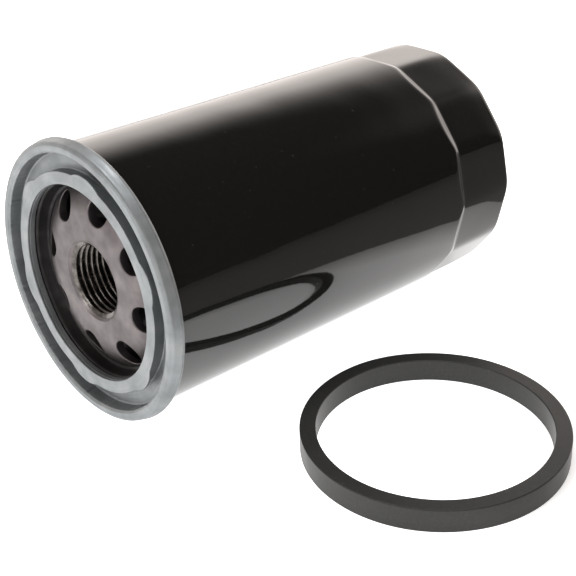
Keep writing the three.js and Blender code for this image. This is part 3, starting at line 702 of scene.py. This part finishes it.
def punched_cell():
    """One eighth of the punched ring, as a grid round its hole: from the cell's outline in to the
    rounded edge, down the hole's wall and back out to the outline on the far side."""
    half = math.pi / HOLE_COUNT
    side = np.linspace(-half, half, ARC_STEPS, endpoint=False)
    inward = np.linspace(CHANNEL_INNER, HUB_EDGE, 12, endpoint=False)
    outline_radius = np.concatenate([
        np.full(ARC_STEPS, CHANNEL_INNER), inward,
        np.full(ARC_STEPS, HUB_EDGE), HUB_EDGE + CHANNEL_INNER - inward])
    outline_angle = np.concatenate([side, np.full(12, half), -side, np.full(12, -half)])
    outline = outline_radius[:, None] * np.stack([np.cos(outline_angle), np.sin(outline_angle)], axis=-1)
    away = outline - [HOLE_CIRCLE, 0]
    far = np.hypot(away[:, 0], away[:, 1])
    way = away / far[:, None]
    share = np.array([1.0, 0.7, 0.45, 0.25, 0.1, 0.0])[:, None]
    ease = np.linspace(0, math.pi / 2, 6)[1:]
    bend = ease[:, None]
    reach = np.concatenate([
        HOLE_RADIUS + HOLE_EDGE + share * (far - HOLE_RADIUS - HOLE_EDGE),
        HOLE_RADIUS + HOLE_EDGE * (1 - np.sin(bend)) + 0 * far,
        HOLE_RADIUS + 0 * far[None, :],
        HOLE_RADIUS + share[::-1] * (far - HOLE_RADIUS)])
    behind = np.concatenate([
        np.zeros(len(share)), HOLE_EDGE * (1 - np.cos(ease)),
        [(PLATE_THICKNESS + HOLE_EDGE) / 2], np.full(len(share), PLATE_THICKNESS)])
    flat = np.array([HOLE_CIRCLE, 0]) + reach[..., None] * way[None, :, :]
    radius = np.hypot(flat[..., 0], flat[..., 1])
    return radius, np.arctan2(flat[..., 1], flat[..., 0]), crown_depth(radius) + behind[:, None]


def plate_rim(angle):
    """The plate outside its punched ring, from the channel round its edge and back behind."""
    lid_shelf = LIP_DEPTH + LIP_SKIRT + 0.3
    flange = GROOVE_DEPTH + LID_SHEET + 0.3
    edge = span("base_plate")[1]
    channel = CROWN_DEPTH + CHANNEL_DROP
    profile = np.array([
        (CHANNEL_INNER, channel),
        (CHANNEL_INNER + 0.3, channel + 0.08),
        (CHANNEL_INNER + CHANNEL_WIDTH, channel - 0.1),
        (CHANNEL_INNER + CHANNEL_WIDTH + 0.45, channel - 0.7),
        (LIP_INNER - 0.5, lid_shelf + 1.0),
        (LIP_INNER - 0.3, lid_shelf + 0.4),
        (LIP_INNER + 0.1, lid_shelf),
        (LIP_OUTER - LID_SHEET - 0.6, lid_shelf),
        (LIP_OUTER - LID_SHEET - 0.3, flange),
        (edge, flange),
        (edge, flange + PLATE_THICKNESS),
        (LIP_OUTER + 1, flange + PLATE_THICKNESS),
        (CHANNEL_INNER + CHANNEL_WIDTH + 2, channel + PLATE_THICKNESS),
        (CHANNEL_INNER, channel + PLATE_THICKNESS),
    ])
    return turned_round(profile[:, :1], profile[:, 1:], angle[None, :])


def plate_hub(angle):
    """The front of the hub, from the punched ring in to the thread's mouth."""
    mouth = THREAD_MAJOR + 0.3 + THREAD_CHAMFER
    radius = np.array([HUB_EDGE, 18.0, mouth + 1.3, mouth + 0.9, mouth + 0.5, mouth + 0.1, mouth - 0.1,
                       mouth - 0.3, THREAD_MOUTH])
    depth = CROWN_DEPTH + np.array([0.0, 0.0, 0.0, 0.07, 0.07, 0.0, 0.05, 0.2, THREAD_START])
    return turned_round(radius[:, None], depth[:, None], angle[None, :])


def plate_thread(angle):
    """The tapped bore: rows follow the helix, falling one pitch for each turn, and are held between
    the mouth and the end of the neck, where the thread runs out in a chamfer. A row's radius is the
    thread's section, a sixty degree groove between flat crests."""
    end = span("base_plate")[3]
    turns = math.ceil((end - CROWN_DEPTH) / THREAD_PITCH) + 2
    rows = np.arange(turns * THREAD_STEPS + 1) / THREAD_STEPS
    phase = rows % 1.0
    rise = np.clip((0.5 - np.abs(phase - 0.5)) * 2.6 - 0.3, 0, 1)
    section = THREAD_MINOR + (THREAD_MAJOR - THREAD_MINOR) * rise
    start = CROWN_DEPTH + THREAD_START
    raw = start + (rows[:, None] - 1 - angle[None, :] / TURN) * THREAD_PITCH
    depth = np.clip(raw, start, end)
    mouth = THREAD_MOUTH - 2.0 * (depth - start)
    far = THREAD_MAJOR + 0.3 - (end - depth)
    return turned_round(np.maximum(np.maximum(section[:, None], mouth), far), depth, angle[None, :])


def plate_neck(angle):
    """The outside of the neck and the back of the hub."""
    end = span("base_plate")[3]
    neck = THREAD_MAJOR + NECK_WALL
    back = CROWN_DEPTH + PLATE_THICKNESS
    radius = np.array([THREAD_MAJOR + 0.3, neck - 0.3, neck, neck, neck + 0.3, neck + 1.0, HUB_EDGE])
    depth = np.array([end, end, end - 0.3, back + 0.8, back + 0.25, back, back])
    return turned_round(radius[:, None], depth[:, None], angle[None, :])


def build_plate():
    """Base plate: eight punched cells, the rim outside them and the threaded hub inside them, all on
    the same columns, welded into one."""
    start = HOLE_PHASE - math.pi / HOLE_COUNT
    angle = start + np.arange(PLATE_COLUMNS) * TURN / PLATE_COLUMNS
    screw = start + np.arange(PLATE_COLUMNS + 1) * TURN / PLATE_COLUMNS
    points, faces, materials, count = [], [], [], 0

    def collect(grid, quads, material):
        nonlocal count
        points.append(grid.reshape(-1, 3))
        faces.append(quads + count)
        materials.append(np.full(len(quads), material))
        count += grid.shape[0] * grid.shape[1]

    radius, turn, depth = punched_cell()
    for hole in range(HOLE_COUNT):
        cell = turned_round(radius, depth, turn + HOLE_PHASE + hole * TURN / HOLE_COUNT)
        collect(cell, grid_faces(*radius.shape, False), 0)
    # The rim outside the punched ring takes the darkened recess steel, material 2: painted shade.
    for part, material in ((plate_rim(angle), 2), (plate_hub(angle), 0), (plate_neck(angle), 0)):
        collect(part, grid_faces(*part.shape[:2], False), material)
    thread = plate_thread(screw)
    quads = grid_faces(*thread.shape[:2], False)
    collect(thread, quads[np.abs(quads[:, 1] - quads[:, 0]) == 1], 1)
    plate = make_piece("punched_base_plate", from_filter(np.concatenate(points)), np.concatenate(faces),
                       [STEEL, THREAD, RECESS_STEEL_PAINTED_SHADE], np.concatenate(materials), sharp=55)
    stand_in(plate, "base_plate", "housing")


# ---- sealing ring ----

RING_CORNER = 0.35


def build_sealing_ring():
    """Sealing ring: a square section with slightly rounded corners carried round, with a slight
    wobble of its height and its radius."""
    low, high = (np.array(corner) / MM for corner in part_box("gasket"))
    centre = (low + high) / 2
    angle = np.linspace(0, TURN, 288, endpoint=False)
    around = corners_of("gasket") / MM - centre
    radii = np.hypot(around[:, 0], around[:, 1])
    inner, outer = radii.min(), radii.max() - 0.12
    top = high[2]
    corners = [(inner, 0.0), (outer, 0.0), (outer, top), (inner, top)]
    section = rounded([(*corner, RING_CORNER) for corner in corners])
    radius = section[:, :1] + 0.05 * ripple(angle, 4, 3)[None, :]
    height = section[:, 1:] * (1 - 0.008 * (1 + ripple(angle, 5, 8))[None, :])
    points = np.stack(np.broadcast_arrays(
        centre[0] + radius * np.cos(angle), centre[1] + radius * np.sin(angle), height), axis=-1) * MM
    faces = grid_faces(len(section), angle.size, True)
    ring = make_piece("square_cut_ring", points, faces, [RING_RUBBER])
    stand_in(ring, "gasket", "sealing_ring")


# ---- springs, valve flap and paper ----

SPRING_STEPS = 60                        # along each turn
WIRE_SIDES = 14
DEAD_RISE = 1.12                         # rise of a closed turn, in wire thicknesses


def build_spring(name, node, body, turns, wire):
    """Compression spring: a round wire carried along a helix whose first and last turns lie nearly closed, with
    both ends drawn in to a point to close them."""
    _, outer, first, last = span(node)
    turn = np.linspace(0, turns, round(turns * SPRING_STEPS) + 1)
    dead = DEAD_RISE * wire
    middle = (last - first - 0.9 * wire - 2 * dead) / (turns - 2)
    rise = dead * np.clip(turn, 0, 1) + middle * np.clip(turn - 1, 0, turns - 2) + dead * np.clip(
        turn - turns + 1, 0, 1)
    turn = np.concatenate([turn[:1], turn, turn[-1:]])[:, None]
    rise = np.concatenate([rise[:1], rise, rise[-1:]])[:, None]
    thick = np.full((len(turn), 1), wire / 2)
    thick[[0, -1]] = 0.0
    section = np.linspace(0, TURN, WIRE_SIDES, endpoint=False)[None, :]
    points = from_filter(turned_round(
        outer - wire / 2 + thick * np.cos(section), first + 0.45 * wire + rise + thick * np.sin(section),
        math.pi / 2 - TURN * turn))
    spring = make_piece(name, points, grid_faces(len(turn), WIRE_SIDES, False), [SPRING], sharp=50)
    stand_in(spring, node, body)
    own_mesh(spring)


FLAP_RISE = 2.2
FLAP_THICKNESS = 1.3
ROOT_WIDTH = 3.8
ROOT_BEAD = 0.9


def build_flap():
    """Anti-drain-back valve: a dished disc of rubber carried round the axis, thick at its clamped root and drawn
    out to a soft rim. Its root sits on the plate's neck."""
    root, rim, sleeve, last = span("anti_drain_valve")
    back = last - ROOT_BEAD
    front = back - FLAP_THICKNESS
    seat = front - FLAP_RISE
    step = root + ROOT_WIDTH
    profile = rounded([
        (root, sleeve, 0.2),
        (step - 1.0, sleeve, 0.3),
        (step - 1.0, front - 0.8, 0.6),
        (step + 0.4, front - 0.1, 0.6),
        (rim - 1.0, seat, 0.4),
        (rim, seat, 0.25),
        (rim, seat + 0.7 * FLAP_THICKNESS, 0.3),
        (rim - 1.4, seat + FLAP_THICKNESS, 0.5),
        (step + 0.1, back, 0.4),
        (step - 0.2, last, 0.3),
        (root, last, 0.3),
    ])
    angle = np.linspace(0, TURN, 240, endpoint=False)
    points = from_filter(turned_round(profile[:, :1], profile[:, 1:], angle[None, :]))
    flap = make_piece("dished_valve_flap", points, grid_faces(len(profile), angle.size, True), [VALVE_RUBBER])
    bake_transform(flap)
    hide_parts("anti_drain_valve")


PLEAT_COUNT = 40
PLEAT_SHIFT = 3.9                        # radial thickness of the folded sheet
PLEAT_ROWS = 25                          # along the axis


def build_media():
    """Pleated paper: an outline whose radius runs in and out as a triangle wave with rounded tips,
    the same outline shifted inwards, and both carried along the axis."""
    bore, tip, first, last = span("pleated_media")
    angle = np.linspace(0, TURN, 28 * PLEAT_COUNT, endpoint=False)
    wave = np.arcsin(0.985 * np.cos(PLEAT_COUNT * angle)) / (math.pi / 2)
    root = bore + PLEAT_SHIFT
    outline = (tip + root) / 2 + (tip - root) / 2 * wave
    depth = np.linspace(first, last, PLEAT_ROWS)
    radii = np.repeat([outline, outline - PLEAT_SHIFT], PLEAT_ROWS, axis=0)
    depths = np.concatenate([depth, depth[::-1]])[:, None]
    points = from_filter(turned_round(radii, depths, angle[None, :]))
    faces = grid_faces(2 * PLEAT_ROWS, angle.size, True)
    media = make_piece("folded_paper", points, faces, [PAPER], sharp=50)
    stand_in(media, "pleated_media", "element")


build_can()
build_lid()
build_plate()
build_sealing_ring()
build_spring("coiled_hold_down_spring", "hold_down_spring", "housing", 3.5, 2.4)
build_spring("coiled_bypass_spring", "bypass_spring", "element", 5.5, 1.2)
build_flap()
build_media()

# ---- carried-over pieces ----

CAD_FINISHES = {
    "seam_compound": SEALANT,
    "top_end_cap": TINPLATE,
    "top_potting": PLASTISOL,
    "center_tube": TINPLATE,
    "media_seam_clip": TINPLATE,
    "bottom_potting": PLASTISOL,
    "bottom_end_cap": TINPLATE,
    "bypass_seat": TINPLATE,
    "bypass_cage": TINPLATE,
    "spring_cup": TINPLATE,
    "bypass_poppet": TINPLATE,
    "bypass_facing": VALVE_RUBBER,
    "bypass_rivet": SPRING,
}
for node_name, finish in CAD_FINISHES.items():
    materials = frame["nodes"][node_name].data.materials
    materials.clear()
    materials.append(finish)

# ---- studio ----

def add_slab(name, corners, height, material):
    """A flat sheet with the given outline, at a height, in metres."""
    mesh = bpy.data.meshes.new(name)
    mesh.from_pydata([(x, y, height) for x, y in corners], [], [tuple(range(len(corners)))])
    mesh.materials.append(material)
    slab = bpy.data.objects.new(name, mesh)
    bpy.context.scene.collection.objects.link(slab)


def add_floor():
    """A white card lit from under, on a pale table. The card ends in a straight edge on the right."""
    far = 3.0
    add_slab("table", [(-far, -far), (far, -far), (far, far), (-far, far)], -CARD_LIFT, pale_table())
    edge = CARD_EDGE_WAY[:2]
    along = np.array([-edge[1], edge[0]])
    corners = [edge * CARD_EDGE - along * 0.9, edge * CARD_EDGE + along * 2.2,
               -edge * 1.6 + along * 2.2, -edge * 1.6 - along * 0.9]
    add_slab("card", [tuple(corner) for corner in corners], 0.0, studio_card())


LIGHTS_AIM = (-0.04, -0.08, 0.05)


def add_softbox(name, place, width, height, power):
    """A rectangular soft light at a place, turned towards the filter, in metres and watts."""
    data = bpy.data.lights.new(name, "AREA")
    data.shape = "RECTANGLE"
    data.size = width
    data.size_y = height
    data.energy = power
    light = bpy.data.objects.new(name, data)
    bpy.context.scene.collection.objects.link(light)
    light.location = place
    light.rotation_euler = (Vector(LIGHTS_AIM) - Vector(place)).to_track_quat("-Z", "Y").to_euler()


BACKDROP_SIDE = (-0.62, 0.78, 0.0)       # the way from the object to the middle of the backdrop
BACKDROP_TONE = "#fff6f0"
BACKDROP_STRENGTH = 2.3
FRONT_FILL = 0.6                         # soft light from the wall in front of the thread end


def add_backdrop():
    """A dark room with one wide backdrop behind the object, bright up to about twenty degrees and
    fading out by forty-five, and fading out sideways, and a dim wall in front."""
    world = bpy.data.worlds.new("studio")
    bpy.context.scene.world = world
    world.use_nodes = True
    tree = world.node_tree
    way = add(tree, "ShaderNodeTexCoord").outputs["Generated"]
    height = add(tree, "ShaderNodeSeparateXYZ", {"Vector": way}).outputs["Z"]
    side = add(tree, "ShaderNodeVectorMath", {0: way, 1: BACKDROP_SIDE}, operation="DOT_PRODUCT")
    low = add(tree, "ShaderNodeMapRange", {
        "Value": height, "From Min": 0.74, "From Max": 0.36, "To Min": 0.0, "To Max": 1.0},
        interpolation_type="SMOOTHSTEP").outputs["Result"]
    behind = add(tree, "ShaderNodeMapRange", {
        "Value": side.outputs["Value"], "From Min": 0.25, "From Max": 0.62, "To Min": 0.0, "To Max": 1.0},
        interpolation_type="SMOOTHSTEP").outputs["Result"]
    glow = add(tree, "ShaderNodeMath", {0: low, 1: behind}, operation="MULTIPLY").outputs["Value"]
    depth = add(tree, "ShaderNodeSeparateXYZ", {"Vector": way}).outputs["Y"]
    fill = graded(tree, depth, 0.35, -0.1, 0.0, FRONT_FILL)
    bright = graded(tree, glow, 0.0, 1.0, 0.05, BACKDROP_STRENGTH)
    strength = add(tree, "ShaderNodeMath", {0: bright, 1: fill}, operation="ADD").outputs["Value"]
    background = tree.nodes["Background"]
    background.inputs["Color"].default_value = colour(BACKDROP_TONE)
    tree.links.new(strength, background.inputs["Strength"])


def add_studio():
    """Backdrop, an overhead box for the rolled seam, a front box for the thread, and a small one
    beside the camera for the lip."""
    add_backdrop()
    add_softbox("overhead", (-0.17, 0.10, 1.0), 0.5, 0.36, 5)
    add_softbox("front", (-0.30, -1.0, 0.36), 0.35, 0.3, 3)
    add_softbox("beside_camera", (0.80, -0.48, 0.55), 0.22, 0.22, 1.5)


add_floor()
add_studio()
bpy.context.scene.view_settings.view_transform = "Standard"
